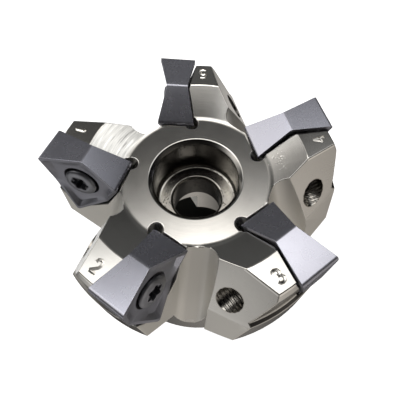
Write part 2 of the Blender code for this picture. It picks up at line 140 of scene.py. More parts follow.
def select_edges(item: bpy.types.Object, wanted: Callable[[bmesh.types.BMEdge], bool]) -> int:
    """Open a piece in edit mode with only the wanted edges selected.

    Args:
        item: the piece.
        wanted: says whether an edge is one of them.

    Returns:
        How many edges are selected.
    """
    mesh = edit(item, "EDGE")
    for edge in mesh.edges:
        edge.select_set(wanted(edge))
    bmesh.update_edit_mesh(item.data)
    return sum(edge.select for edge in mesh.edges)


def select_facing(item: bpy.types.Object, normal: Vector) -> None:
    """Open a piece in edit mode with only the faces selected that look one way."""
    mesh = edit(item, "FACE")
    for face in mesh.faces:
        face.select_set(face.normal.dot(normal) > FACING)
    bmesh.update_edit_mesh(item.data)


def weld(item: bpy.types.Object) -> None:
    """Merge points that coincide and turn the faces outwards."""
    edit(item)
    bpy.ops.mesh.select_all(action="SELECT")
    bpy.ops.mesh.remove_doubles(threshold=WELD_DISTANCE)
    bpy.ops.mesh.normals_make_consistent(inside=False)
    close_edit()


def smooth(item: bpy.types.Object) -> None:
    """Shade a piece smooth and keep the edges that turn more than SHARP_ANGLE sharp."""
    only(item)
    bpy.ops.object.shade_smooth_by_angle(angle=SHARP_ANGLE)


def place(item: bpy.types.Object, matrix: Matrix) -> None:
    """Move a finished piece to its place, and put that place in its mesh."""
    only(item)
    item.matrix_world = matrix @ item.matrix_world
    bpy.ops.object.transform_apply(location=True, rotation=True, scale=True)


def twin(item: bpy.types.Object, name: str) -> bpy.types.Object:
    """Copy a piece with its own mesh.

    Args:
        item: the piece to copy.
        name: the copy's name.

    Returns:
        The copy, linked to the scene.
    """
    copy = item.copy()
    copy.data = item.data.copy()
    copy.name = copy.data.name = name
    bpy.context.scene.collection.objects.link(copy)
    return copy


def node_copy(frame: dict, node: str, name: str) -> bpy.types.Object:
    """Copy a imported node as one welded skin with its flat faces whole.

    Args:
        node: the node to copy.
        name: the copy's name.

    Returns:
        The copy, which rides on nothing yet.
    """
    copy = bpy.data.objects.new(name, frame["nodes"][node].data.copy())
    bpy.context.scene.collection.objects.link(copy)
    copy.data.name = name
    copy.data.materials.clear()
    edit(copy)
    bpy.ops.mesh.select_all(action="SELECT")
    bpy.ops.mesh.customdata_custom_splitnormals_clear()
    bpy.ops.mesh.remove_doubles(threshold=WELD_DISTANCE)
    bpy.ops.mesh.dissolve_limited(angle_limit=FLAT_ANGLE)
    close_edit()
    return copy


def drawn_line(name: str, points: list[tuple[float, float]]) -> bpy.types.Object:
    """Draw a line in the plane of X and Z, and leave it open in edit mode.

    Args:
        name: the piece's name.
        points: its points in order, each as (radius, height).

    Returns:
        The piece, one line so far.
    """
    bpy.ops.mesh.primitive_plane_add(size=SEED_SIZE)
    item = bpy.context.active_object
    item.name = item.data.name = name
    edit(item)
    bpy.ops.mesh.select_all(action="SELECT")
    bpy.ops.mesh.merge(type="CENTER")
    here = Vector((points[0][0], 0, points[0][1]))
    bpy.ops.transform.translate(value=here)
    for radius, height in points[1:]:
        there = Vector((radius, 0, height))
        bpy.ops.mesh.extrude_vertices_move(TRANSFORM_OT_translate={"value": there - here})
        here = there
    return item


def turned(name: str, profile: list[tuple[float, float]], steps: int) -> bpy.types.Object:
    """Spin a profile about Z.

    Args:
        name: the piece's name.
        profile: points as (radius, height), starting and ending on the axis.
        steps: how many facets go round.

    Returns:
        The closed piece.
    """
    item = drawn_line(name, profile)
    bpy.ops.mesh.select_all(action="SELECT")
    bpy.ops.mesh.spin(steps=steps, angle=tau, center=(0, 0, 0), axis=(0, 0, 1))
    close_edit()
    weld(item)
    return item


def apply_modifier(item: bpy.types.Object, kind: str, **settings: object) -> None:
    """Add a modifier, set it and apply it.

    Args:
        item: the piece that takes it.
        kind: the modifier's type.
        settings: its properties by name.
    """
    only(item)
    modifier = item.modifiers.new(kind.lower(), kind)
    for key, value in settings.items():
        setattr(modifier, key, value)
    bpy.ops.object.modifier_apply(modifier=modifier.name)


def combine(item: bpy.types.Object, tool: bpy.types.Object, operation: str) -> None:
    """Cut a tool from a piece, or join it on, and throw the tool away."""
    apply_modifier(item, "BOOLEAN", operation=operation, solver="EXACT", object=tool)
    bpy.data.objects.remove(tool, do_unlink=True)


def threaded_rod(
    name: str, root: float, crest: float, pitch: float, low: float, high: float
) -> bpy.types.Object:
    """Model a screw thread as a closed rod about Z.

    Args:
        name: the piece's name.
        root: radius at the bottom of the thread.
        crest: radius at its top.
        pitch: advance in one turn.
        low: height where the rod starts.
        high: height where it ends.

    Returns:
        The closed rod.
    """
    form = ((root, 0.0), (crest, CREST_START), (crest, CREST_END), (root, ROOT_START), (root, 1.0))
    item = drawn_line(name, [(radius, low + pitch * share) for radius, share in form])
    close_edit()
    turns = max(1, round((high - low) / pitch))
    apply_modifier(
        item, "SCREW", screw_offset=pitch, iterations=turns, steps=THREAD_STEPS, render_steps=THREAD_STEPS
    )
    weld(item)
    middle = (low + high) / 2
    for end, side in ((low, -1), (high, 1)):
        select_edges(item, lambda edge: edge.is_boundary and (midpoint(edge).z - middle) * side > 0)
        bpy.ops.mesh.extrude_edges_move()
        bpy.ops.transform.resize(value=(0, 0, 0), center_override=(0, 0, end))
        close_edit()
        weld(item)
    return item


@dataclass(frozen=True)
class ToothLayout:
    """Where the insert and its screw sit on a tooth, in metres."""

    cutting_diameter: float = 0.0635
    height: float = 0.040
    insert_radius: float = 0.0071
    insert_half: float = 0.00413
    lift: float = 0.0048
    rake: float = radians(5.5)
    screw_head_top: float = 0.0029
    screw_lean: float = radians(2.3)
    land_height: float = 0.0384

    def tooth(self, index: int) -> Matrix:
        """Turn from the tooth's own axes, X outwards, to the part's."""
        return Matrix.Rotation(FIRST_TOOTH_ANGLE + tau * index / TOOTH_COUNT, 4, "Z")

    def insert(self, index: int) -> Matrix:
        """Place of an insert: X towards the axis, Y up, Z in the cutting direction."""
        inwards = Vector((-1, 0, 0))
        up = Vector((0, -sin(self.rake), cos(self.rake)))
        ahead = Vector((0, cos(self.rake), sin(self.rake)))
        tip = up * self.insert_radius + ahead * self.insert_half
        reach = sqrt((self.cutting_diameter / 2) ** 2 - (self.lift + tip.y) ** 2) - self.insert_radius
        axes = Matrix((inwards, up, ahead)).transposed().to_4x4()
        return self.tooth(index) @ Matrix.Translation((reach, self.lift, self.height - tip.z)) @ axes

    def screw(self, index: int) -> Matrix:
        """Place of an insert screw, with the rim of its head at zero."""
        lean = Matrix.Rotation(-self.screw_lean, 4, "X")
        return self.insert(index) @ Matrix.Translation((0, 0, self.screw_head_top)) @ lean


@dataclass(frozen=True)
class Band:
    """Where a mask changes: the level at one end of the change, and its width."""

    level: float
    width: float


@dataclass(frozen=True)
class Grain:
    """A noise pattern: its scale, its detail and its roughness."""

    scale: float
    detail: float = 3.0
    roughness: float = 0.55


@dataclass(frozen=True)
class Socket:
    """A shader value that takes part in sums written as Python."""

    tree: bpy.types.NodeTree
    link: bpy.types.NodeSocket

    def _math(self, operation: str, other: Socket | float, swap: bool = False) -> Socket:
        """Add one Math node for this value and another."""
        node = self.tree.nodes.new("ShaderNodeMath")
        node.operation = operation
        sides = (other, self) if swap else (self, other)
        for slot, value in zip(node.inputs, sides):
            if isinstance(value, Socket):
                self.tree.links.new(value.link, slot)
            else:
                slot.default_value = value
        return Socket(self.tree, node.outputs[0])

    def __add__(self, other: Socket | float) -> Socket:
        """Sum."""
        return self._math("ADD", other)

    __radd__ = __add__

    def __mul__(self, other: Socket | float) -> Socket:
        """Product."""
        return self._math("MULTIPLY", other)

    __rmul__ = __mul__

    def __sub__(self, other: Socket | float) -> Socket:
        """Difference."""
        return self._math("SUBTRACT", other)

    def __rsub__(self, other: float) -> Socket:
        """A number less this value."""
        return self._math("SUBTRACT", other, swap=True)

    def __truediv__(self, other: Socket | float) -> Socket:
        """Quotient."""
        return self._math("DIVIDE", other)

    def __pow__(self, other: float) -> Socket:
        """Power."""
        return self._math("POWER", other)

    def apply(self, operation: str) -> Socket:
        """A function of this value alone."""
        return self._math(operation, 0.0)

    def angle(self, other: Socket) -> Socket:
        """Angle whose tangent is this value over another."""
        return self._math("ARCTAN2", other)

    def above(self, band: Band) -> Socket:
        """Mask that rises from 0 to 1 across a band that starts at its level."""
        node = self.tree.nodes.new("ShaderNodeMapRange")
        node.interpolation_type = "SMOOTHSTEP"
        self.tree.links.new(self.link, node.inputs["Value"])
        node.inputs["From Min"].default_value = band.level
        node.inputs["From Max"].default_value = band.level + band.width
        return Socket(self.tree, node.outputs["Result"])

    def below(self, band: Band) -> Socket:
        """Mask that falls from 1 to 0 across a band that ends at its level."""
        return 1 - self.above(Band(band.level - band.width, band.width))


class Nodes:
    """A node tree that is being filled."""

    def __init__(self, tree: bpy.types.NodeTree) -> None:
        """Take the tree that the nodes go into."""
        self.tree = tree

    def fill(self, slot: bpy.types.NodeSocket, value: object) -> None:
        """Link a socket to what varies, or set it to a constant."""
        if isinstance(value, Socket):
            self.tree.links.new(value.link, slot)
        elif isinstance(value, bpy.types.NodeSocket):
            self.tree.links.new(value, slot)
        else:
            slot.default_value = value

    def node(self, kind: str, settings: dict | None = None, **sockets: object) -> bpy.types.Node:
        """Add a node.

        Args:
            kind: the node's type.
            settings: properties that are set before the sockets.
            sockets: values or links by socket name, with spaces as underscores.

        Returns:
            The node.
        """
        made = self.tree.nodes.new(kind)
        for key, value in (settings or {}).items():
            setattr(made, key, value)
        for key, value in sockets.items():
            self.fill(made.inputs[key.replace("_", " ")], value)
        return made

    def value(self, node: bpy.types.Node, output: str | int = 0) -> Socket:
        """Wrap one of a node's outputs."""
        return Socket(self.tree, node.outputs[output])


class Finish(Nodes):
    """A material that is being built from nodes."""

    def __init__(self, name: str) -> None:
        """Start a material with one Principled shader."""
        self.material = bpy.data.materials.new(name)
        self.material.use_nodes = True
        super().__init__(self.material.node_tree)
        self.shader = self.tree.nodes["Principled BSDF"]

    def place(self) -> bpy.types.NodeSocket:
        """Object coordinates."""
        return self.node("ShaderNodeTexCoord").outputs["Object"]

    def screw_distance(self, x: Socket, y: Socket, z: Socket, layout: ToothLayout) -> Socket:
        """Distance from the axis of the nearest insert screw, which is the same on every tooth.

        Args:
            x: place along X.
            y: place along Y.
            z: height.
            layout: where the screws are.

        Returns:
            The distance in metres.
        """
        pitch = tau / TOOTH_COUNT
        turn = (y.angle(x) - FIRST_TOOTH_ANGLE) / pitch
        local = (turn - turn.apply("ROUND")) * pitch
        radius = (x * x + y * y) ** 0.5
        axes = layout.tooth(0).inverted() @ layout.screw(0)
        middle, up = axes.translation, axes.col[1]
        across = radius * local.apply("COSINE") - middle.x
        above = (radius * local.apply("SINE") - middle.y) * up.y + (z - middle.z) * up.z
        return (across * across + above * above) ** 0.5

    def noise(self, where: bpy.types.NodeSocket, grain: Grain) -> Socket:
        """Noise between 0 and 1."""
        made = self.node("ShaderNodeTexNoise", None, Vector=where, Scale=grain.scale)
        made.inputs["Detail"].default_value = grain.detail
        made.inputs["Roughness"].default_value = grain.roughness
        return self.value(made, "Fac")

    def facing(self, x: Socket, y: Socket, radius: Socket) -> tuple[Socket, Socket]:
        """Read which way a face looks.

        Args:
            x: place along X.
            y: place along Y.
            radius: distance from the axis.

        Returns:
            How far it looks round the axis, squared, and how far it looks up.
        """
        normal_x, normal_y, normal_z = self.split(self.node("ShaderNodeNewGeometry").outputs["Normal"])
        sideways = (x * normal_y - y * normal_x) / radius
        return sideways * sideways, normal_z

    def split(self, vector: bpy.types.NodeSocket) -> tuple[Socket, Socket, Socket]:
        """Take a vector's three parts."""
        parts = self.node("ShaderNodeSeparateXYZ", None, Vector=vector)
        return self.value(parts, 0), self.value(parts, 1), self.value(parts, 2)

    def ramp(self, factor: Socket, stops: list[tuple[float, Colour]]) -> bpy.types.NodeSocket:
        """Colour ramp.

        Args:
            factor: what picks the colour.
            stops: positions and colours.

        Returns:
            The colour.
        """
        made = self.node("ShaderNodeValToRGB", None, Fac=factor)
        points = made.color_ramp.elements
        while len(points) < len(stops):
            points.new(0.5)
        for point, (position, colour) in zip(points, stops):
            point.position = position
            point.color = (*colour, 1)
        return made.outputs["Color"]

    def blend(
        self, factor: Socket, first: bpy.types.NodeSocket, second: bpy.types.NodeSocket
    ) -> bpy.types.NodeSocket:
        """Mix two colours. The node has sockets of one name for each type, so they go by number."""
        made = self.node("ShaderNodeMix", {"data_type": "RGBA"})
        for number, value in ((0, factor), (6, first), (7, second)):
            self.fill(made.inputs[number], value)
        return made.outputs[2]

    def set(self, **sockets: object) -> None:
        """Set or link sockets of the Principled shader."""
        for key, value in sockets.items():
            self.fill(self.shader.inputs[key.replace("_", " ")], value)

    def bump(self, height: Socket, distance: float, strength: float = 1.0) -> None:
        """Put a relief on the surface."""
        made = self.node("ShaderNodeBump", None, Height=height, Distance=distance, Strength=strength)
        self.tree.links.new(made.outputs["Normal"], self.shader.inputs["Normal"])


@dataclass(frozen=True)
class PlateMasks:
    """Where each kind of surface lies on the body, and where shade is painted on it."""

    milled: Socket
    taper: Socket
    bore: Socket
    depth_shade: Socket
    tapped: Socket
    steep: Socket
    far_shade: Socket
    engraved: Socket


@dataclass(frozen=True)
class NickelPlate:
    """Bright satin nickel over turned and milled steel, dull inside the bore and the screw holes, with
    painted shade there and painted light on the steep walls and the numbers.
    """

    layout: ToothLayout
    colour: Colour = (0.62, 0.61, 0.58)
    shades: tuple[tuple[float, float], ...] = ((0.0, 0.5), (0.25, 0.9), (0.75, 1.07), (1.0, 1.4))
    stain: Colour = (0.50, 0.48, 0.44)
    soot_and_shade: Colour = (0.01, 0.009, 0.007)
    stain_full: float = 0.5
    # Where each kind of surface lies: radii and heights in metres, tilts as the height of the normal.
    milled_turn: Band = Band(0.004, 0.02)
    pocket_tilt: Band = Band(0.60, 0.05)
    pocket_inside: Band = Band(0.0125, 0.001)
    pocket_outside: Band = Band(0.0241, 0.0002)
    taper_steepest: Band = Band(0.80, 0.05)
    taper_flattest: Band = Band(0.98, 0.04)
    steep_tilt: Band = Band(0.44, 0.08)
    bore_wall: Band = Band(0.0093, 0.0003)
    bore_floor: Band = Band(0.0188, 0.0003)
    hole_top: Band = Band(0.0256, 0.0005)
    tap_wall: Band = Band(0.00275, 0.00005)
    land_inside: Band = Band(0.0227, 0.0002)
    groove_depth: float = 0.0005
    groove_floor_blur: float = 0.0001
    groove_top_blur: float = 0.00003
    # The side where shade is painted in the bore and the screw holes, then the sides that are scratched and
    # pitted.
    far_shade_side: float = radians(90.0)
    far_shade_reach: Band = Band(0.2, 0.6)
    scratched_side: float = radians(166.0)
    scratched_reach: Band = Band(0.80, 0.15)
    pitted_side: float = radians(20.0)
    pitted_reach: Band = Band(0.94, 0.05)
    pitted_radius: Band = Band(0.0195, 0.002)
    # Patterns on the surface.
    cloud: Grain = Grain(260.0, 4.0, 0.6)
    turning: Grain = Grain(5200.0, 2.0, 0.6)
    turning_depth: float = 0.0000016
    feed: Grain = Grain(1.0, 2.0, 0.5)
    feed_scale: tuple[float, float, float] = (700.0, 700.0, 5200.0)
    feed_share: float = 0.35
    scratch: Grain = Grain(1.0, 3.0, 0.65)
    scratch_scale: float = 2000.0
    scratch_advance: float = 2.2
    scratch_depth: float = 0.000016
    faint_scratches: float = 0.12
    patch: Grain = Grain(420.0, 2.0, 0.5)
    patch_edge: Band = Band(0.50, 0.06)
    pit_scale: float = 2400.0
    pit_edge: Band = Band(0.36, 0.08)
    pit_depth: float = 0.00006
    # How much each surface and pattern changes the tone, the grime and the roughness, with painted light on
    # the numbers and the steep walls and painted shade in the bore and the screw holes.
    plain_tone: float = 0.1
    cloud_tone: float = 0.5
    mark_tone: float = 0.3
    scratch_tone: float = 3.0
    engraved_highlight: float = 0.9
    steep_light: float = 0.8
    pit_tone: float = 0.9
    plain_grime: float = 0.3
    cloud_grime: float = 0.4
    pit_grime: float = 0.4
    far_shade_strength: float = 0.60
    deep_shade: float = 0.78
    tap_shade: float = 0.2
    bore_wear: float = 0.6
    roughness: float = 0.15
    milled_roughness: float = 0.13
    steep_roughness: float = 0.30
    stained_roughness: float = 0.05
    cloud_roughness: float = 0.06
    wear_roughness: float = 0.1

    def side(self, x: Socket, y: Socket, radius: Socket, angle: float, reach: Band) -> Socket:
        """Mask of the side of the part that lies at an angle."""
        return ((x * cos(angle) + y * sin(angle)) / radius).above(reach)

    def masks(self, finish: Finish, x: Socket, y: Socket, z: Socket, radius: Socket) -> PlateMasks:
        """Find where each kind of surface lies, and where shade is painted.

        Args:
            finish: the material that is being built.
            x: place along X.
            y: place along Y.
            z: height.
            radius: distance from the axis.

        Returns:
            The masks.
        """
        turned_face, upwards = finish.facing(x, y, radius)
        angled = turned_face.above(self.milled_turn)
        pocket = upwards.below(self.pocket_tilt) * radius.above(self.pocket_inside)
        pocket = pocket * radius.below(self.pocket_outside)
        milled = angled + pocket * (1 - angled)
        taper = upwards.above(self.taper_steepest) * upwards.below(self.taper_flattest) * (1 - milled)
        bore = radius.below(self.bore_wall) * z.above(self.bore_floor)
        tapped = finish.screw_distance(x, y, z, self.layout).below(self.tap_wall)
        steep = milled * upwards.below(self.steep_tilt) * (1 - tapped)
        # Painted shade: the far side of the bore and the screw holes is darkened, standing in for the dark
        # reflection there.
        far_shade = self.side(x, y, radius, self.far_shade_side, self.far_shade_reach) * self.far_shade_strength
        land = self.layout.land_height
        engraved = z.above(Band(land - self.groove_depth, self.groove_floor_blur))
        engraved = engraved * z.below(Band(land, self.groove_top_blur)) * radius.above(self.land_inside)
        # Painted shade: the narrow hole below the bore's seat is darkened, where shade falls in it.
        depth_shade = z.below(self.hole_top) * bore * self.deep_shade
        return PlateMasks(milled, taper, bore, depth_shade, tapped, steep, far_shade, engraved)

    def build(self) -> bpy.types.Material:
        """Build the finish."""
        finish = Finish("nickel_plate")
        where = finish.place()
        x, y, z = finish.split(where)
        radius = (x * x + y * y) ** 0.5
        on = self.masks(finish, x, y, z, radius)
        cloud = finish.noise(where, self.cloud)
        rings = finish.node("ShaderNodeCombineXYZ", None, X=radius, Z=z)
        turning = finish.noise(rings.outputs[0], self.turning)
        stretched = finish.node("ShaderNodeMapping", None, Vector=where, Scale=self.feed_scale)
        feed = finish.noise(stretched.outputs[0], self.feed)
        marks = turning * (1 - on.milled) + feed * on.milled * self.feed_share
        arcs = finish.node("ShaderNodeCombineXYZ", None, X=radius * self.scratch_scale)
        finish.fill(arcs.inputs["Y"], y.angle(x) * self.scratch_advance)
        scratches = finish.noise(arcs.outputs[0], self.scratch)
        scratched_side = self.side(x, y, radius, self.scratched_side, self.scratched_reach)
        scratched = on.taper * (scratched_side * (1 - self.faint_scratches) + self.faint_scratches)
        pitted = self.side(x, y, radius, self.pitted_side, self.pitted_reach)
        pitted = pitted * radius.below(self.pitted_radius) * on.taper
        cells = finish.node("ShaderNodeTexVoronoi", None, Vector=where, Scale=self.pit_scale)
        patches = finish.noise(where, self.patch).above(self.patch_edge)
        pits = finish.value(cells, "Distance").below(self.pit_edge) * patches
        tone = cloud * self.cloud_tone + marks * self.mark_tone + self.plain_tone
        tone = tone + (scratches - NOISE_MIDDLE) * scratched * self.scratch_tone
        # Painted light: the engraved numbers and the steep milled walls get a lighter, even colour for the
        # light they catch.
        tone = tone + on.engraved * self.engraved_highlight + on.steep * self.steep_light
        tone = tone + pits * pitted * self.pit_tone
        stops = [(stop, tuple(c * shade for c in self.colour)) for stop, shade in self.shades]
        plain = finish.ramp(tone, stops)
        # Grime in the bore and the threaded holes, with painted shade on the far side, deep in the narrow
        # hole and in the threads; the darkest colour is reached there and at pits.
        grime_and_shade = (self.plain_grime + cloud * self.cloud_grime) * (1 - on.far_shade) * (1 - on.depth_shade)
        grime_and_shade = grime_and_shade * (1 - on.tapped * self.tap_shade) - pits * on.bore * self.pit_grime
        dull = finish.ramp(grime_and_shade, [(0.0, self.soot_and_shade), (self.stain_full, self.stain)])
        wear = pits * (pitted + on.bore * self.bore_wear)
        finish.set(
            Base_Color=finish.blend(on.bore + on.tapped, plain, dull),
            Metallic=1.0,
            Roughness=self.roughness
            + on.milled * self.milled_roughness
            + on.steep * self.steep_roughness
            + on.bore * self.stained_roughness
            + (cloud - NOISE_MIDDLE) * self.cloud_roughness
            + wear * self.wear_roughness,
        )
        relief = marks * self.turning_depth + scratches * scratched * self.scratch_depth
        finish.bump(relief - wear * self.pit_depth, distance=1.0)
        return finish.material


@dataclass(frozen=True)
class CoatedCarbide:
    """Charcoal coating with a blue tint: ground flanks, duller rake faces, and painted shade in the screw
    hole.
    """

    layout: ToothLayout
    colour: Colour = (0.41, 0.416, 0.472)
    metallic: float = 0.85
    roughness: float = 0.27
    rake_turn: Band = Band(0.2, 0.2)
    rake_shade: float = 0.62
    rake_roughness: float = 0.12
    hole_wall: Band = Band(0.0041, 0.0002)
    hole_shade: float = 0.12
    cloud: Grain = Grain(420.0, 3.0, 0.5)
    plain_shade: float = 0.94
    cloud_shade: float = 0.12
    cloud_roughness: float = 0.05

    def build(self) -> bpy.types.Material:
        """Build the finish."""
        finish = Finish("carbide_coating")
        where = finish.place()
        x, y, z = finish.split(where)
        turned_face, _ = finish.facing(x, y, (x * x + y * y) ** 0.5)
        rake = turned_face.above(self.rake_turn)
        hole = finish.screw_distance(x, y, z, self.layout).below(self.hole_wall)
        cloud = finish.noise(where, self.cloud)
        # Painted shade darkens the wall of the screw hole.
        shade = (1 - rake * (1 - self.rake_shade)) * (1 - hole * (1 - self.hole_shade))
        shade = shade * (self.plain_shade + cloud * self.cloud_shade)
        finish.set(
            Base_Color=finish.ramp(shade, [(0.0, BLACK), (1.0, self.colour)]),
            Metallic=self.metallic,
            Roughness=self.roughness
            + rake * self.rake_roughness
            + (cloud - NOISE_MIDDLE) * self.cloud_roughness,
        )
        return finish.material


@dataclass(frozen=True)
class ScrewSteel:
    """Dark oxide over turned steel."""

    colour: Colour = (0.22, 0.225, 0.245)
    metallic: float = 0.9
    roughness: float = 0.34
    cloud: Grain = Grain(700.0, 4.0, 0.6)
    cloud_range: tuple[float, float] = (0.3, 0.7)
    cloud_shades: tuple[float, float] = (0.85, 1.2)
    cloud_roughness: float = 0.10
    grain: Grain = Grain(7000.0, 2.0, 0.6)
    grain_depth: float = 0.000008
    grain_strength: float = 0.2

    def build(self) -> bpy.types.Material:
        """Build the finish."""
        finish = Finish("screw_oxide")
        where = finish.place()
        cloud = finish.noise(where, self.cloud)
        grain = finish.noise(where, self.grain)
        tones = [tuple(c * shade for c in self.colour) for shade in self.cloud_shades]
        finish.set(
            Base_Color=finish.ramp(cloud, list(zip(self.cloud_range, tones))),
            Metallic=self.metallic,
            Roughness=self.roughness + (cloud - NOISE_MIDDLE) * self.cloud_roughness,
        )
        finish.bump(grain, self.grain_depth, self.grain_strength)
        return finish.material


# Strokes of each number, as points (across, up) in a box of 1 by 1.
FIGURES: dict[int, tuple] = {
    1: (
        ((0.18, 0.74), (0.5, 1.0)),
        ((0.5, 1.0), (0.5, 0.0)),
    ),
    2: (
        ((0.02, 0.72), (0.12, 0.93), (0.45, 1.0), (0.82, 0.92), (0.95, 0.68), (0.80, 0.45), (0.0, 0.0)),
        ((0.0, 0.0), (1.0, 0.0)),
    ),
    3: (
        ((0.02, 0.82), (0.2, 0.97), (0.5, 1.0), (0.82, 0.92), (0.9, 0.74), (0.78, 0.58), (0.42, 0.53)),
        ((0.42, 0.53), (0.82, 0.47), (1.0, 0.27), (0.85, 0.06), (0.5, 0.0), (0.18, 0.04), (0.0, 0.2)),
    ),
    4: (
        ((0.72, 0.0), (0.72, 1.0)),
        ((0.72, 1.0), (0.0, 0.32)),
        ((0.0, 0.32), (1.0, 0.32)),
    ),
    5: (
        ((0.9, 1.0), (0.15, 1.0), (0.08, 0.56)),
        (
            (0.08, 0.56), (0.45, 0.64), (0.85, 0.55), (1.0, 0.32),
            (0.88, 0.08), (0.5, 0.0), (0.15, 0.05), (0.0, 0.18),
        ),
    ),
}


@dataclass
class CutterBody:
    """The milled body: edges broken, screw holes threaded, a number engraved on each tooth."""

    frame: dict
    layout: ToothLayout
    edge_radius: float = 0.00019
    edge_room: float = 0.0004
    short_edge: float = 0.00013
    thread_pitch: float = 0.0008
    thread_root: float = 0.00255
    thread_crest: float = 0.0027
    thread_low: float = -0.0194
    thread_high: float = -0.0066
    figure_height: float = 0.0025
    figure_width: float = 0.0014
    figure_place: tuple[float, float] = (0.02655, -0.00168)
    gullet_fillet: float = 0.0009
    gullet_length: float = 0.02
    hub_radius: float = 0.0243
    hub_reach: float = 0.00012
    slot_top: float = 0.0068
    run_out_turn: float = radians(40.0)
    gullet_turn: tuple[float, float] = (radians(30.0), radians(45.0))
    groove_radius: float = 0.00034
    groove_flatness: float = 0.8
    groove_resolution: int = 2
    edge_segments: int = 3
    gullet_segments: int = 6
    hard_turn: float = radians(6.0)
    # Shares of the thread's radius, the groove's radius and the number's height
    # within which edges stay as cut.
    thread_margin: float = 1.2
    groove_margin: float = 1.1
    figure_margin: float = 0.7

    def thread_tool(self, index: int) -> bpy.types.Object:
        """Tap for one screw hole."""
        low, high = self.thread_low, self.thread_high
        name = f"tap_{index + 1}"
        tool = threaded_rod(name, self.thread_root, self.thread_crest, self.thread_pitch, low, high)
        place(tool, self.layout.screw(index))
        return tool

    def figure_tool(self, index: int) -> list[bpy.types.Object]:
        """Round engraving strokes of one tooth's number."""
        tools = []
        centre_x, centre_y = self.figure_place
        for number, stroke in enumerate(FIGURES[index + 1]):
            curve = bpy.data.curves.new(f"figure_{index + 1}_{number}", "CURVE")
            curve.dimensions = "3D"
            line = curve.splines.new("POLY")
            line.points.add(len(stroke) - 1)
            for point, (across, up) in zip(line.points, stroke):
                x = centre_x + (0.5 - up) * self.figure_height
                y = centre_y + (across - 0.5) * self.figure_width
                point.co = (x, y, self.layout.land_height, 1)
            curve.bevel_depth = self.groove_radius
            curve.bevel_resolution = self.groove_resolution
            curve.use_fill_caps = True
            item = bpy.data.objects.new(curve.name, curve)
            bpy.context.scene.collection.objects.link(item)
            only(item)
            bpy.ops.object.convert(target="MESH")
            item = bpy.context.active_object
            weld(item)
            edit(item)
            bpy.ops.mesh.select_all(action="SELECT")
            land = (0, 0, self.layout.land_height)
            bpy.ops.transform.resize(value=(1, 1, self.groove_flatness), center_override=land)
            close_edit()
            place(item, self.layout.tooth(index))
            tools.append(item)
        return tools

    def cut_zone(self, point: Vector) -> bool:
        """Say whether a point lies in a thread or in an engraved number."""
        for index in range(TOOTH_COUNT):
            near = self.layout.screw(index).inverted() @ point
            in_thread = hypot(near.x, near.y) < self.thread_crest * self.thread_margin
            if in_thread and self.thread_low < near.z < self.thread_high:
                return True
            local = self.layout.tooth(index).inverted() @ point
            centre_x, centre_y = self.figure_place
            away = hypot(local.x - centre_x, local.y - centre_y)
            in_groove = abs(local.z - self.layout.land_height) < self.groove_radius * self.groove_margin
            if in_groove and away < self.figure_height * self.figure_margin:
                return True
        return False

    def gullet_corner(self, edge: bmesh.types.BMEdge) -> bool:
        """Say whether an edge is the long inside corner between a gullet's floor and its far wall."""
        if len(edge.link_faces) != 2 or edge.is_convex or edge.calc_length() <= self.gullet_length:
            return False
        return self.gullet_turn[0] < edge.calc_face_angle() < self.gullet_turn[1]

    def soften_gullets(self, body: bpy.types.Object) -> None:
        """Round the long inside corner of each gullet."""
        LOG.info("gullet corners: %d", select_edges(body, self.gullet_corner))
        bpy.ops.mesh.bevel(
            offset=self.gullet_fillet, segments=self.gullet_segments, clamp_overlap=False, loop_slide=False
        )
        close_edit()

    def run_out(self, edge: bmesh.types.BMEdge) -> bool:
        """Say whether an edge is where a gullet runs out through the side of the hub."""
        if any(abs(hypot(v.co.x, v.co.y) - self.hub_radius) >= self.hub_reach for v in edge.verts):
            return False
        above_slots = min(v.co.z for v in edge.verts) > self.slot_top
        return above_slots and edge.calc_face_angle() < self.run_out_turn

    def to_break(self, edge: bmesh.types.BMEdge) -> bool:
        """Say whether an edge is rounded. Threads, numbers and run-outs stay as they were cut."""
        if len(edge.link_faces) != 2 or edge.calc_face_angle() <= EDGE_ANGLE:
            return False
        if room(edge) <= self.edge_room:
            return False
        return not self.cut_zone(midpoint(edge)) and not self.run_out(edge)

    def break_edges(self, body: bpy.types.Object) -> None:
        """Round the machined edges."""
        select_edges(body, self.to_break)
        bpy.ops.mesh.bevel(
            offset=self.edge_radius, segments=self.edge_segments, clamp_overlap=False, loop_slide=False
        )
        bpy.ops.mesh.select_all(action="SELECT")
        bpy.ops.mesh.normals_make_consistent(inside=False)
        close_edit()

    def hard_run_out(self, edge: bmesh.types.BMEdge) -> bool:
        """Say whether an edge is a run-out that has to shade sharp."""
        if len(edge.link_faces) != 2 or edge.calc_face_angle() <= self.hard_turn:
            return False
        return self.run_out(edge)

    def build(self, material: bpy.types.Material) -> bpy.types.Object:
        """Model and dress the body.

        Args:
            material: its finish.

        Returns:
            The piece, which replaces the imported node.
        """
        body = node_copy(self.frame, "cutter_body", "body")
        edit(body)
        bpy.ops.mesh.select_all(action="SELECT")
        bpy.ops.mesh.remove_doubles(threshold=self.short_edge)
        close_edit()
        self.soften_gullets(body)
        for index in range(TOOTH_COUNT):
            combine(body, self.thread_tool(index), "DIFFERENCE")
            for tool in self.figure_tool(index):
                combine(body, tool, "DIFFERENCE")
        self.break_edges(body)
        smooth(body)
        select_edges(body, self.hard_run_out)
        bpy.ops.mesh.mark_sharp()
        close_edit()
        apply_modifier(body, "WEIGHTED_NORMAL", keep_sharp=True, weight=NORMAL_WEIGHT)
        body.data.materials.append(material)
        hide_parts("cutter_body")
        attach(body, BODY)
        return body


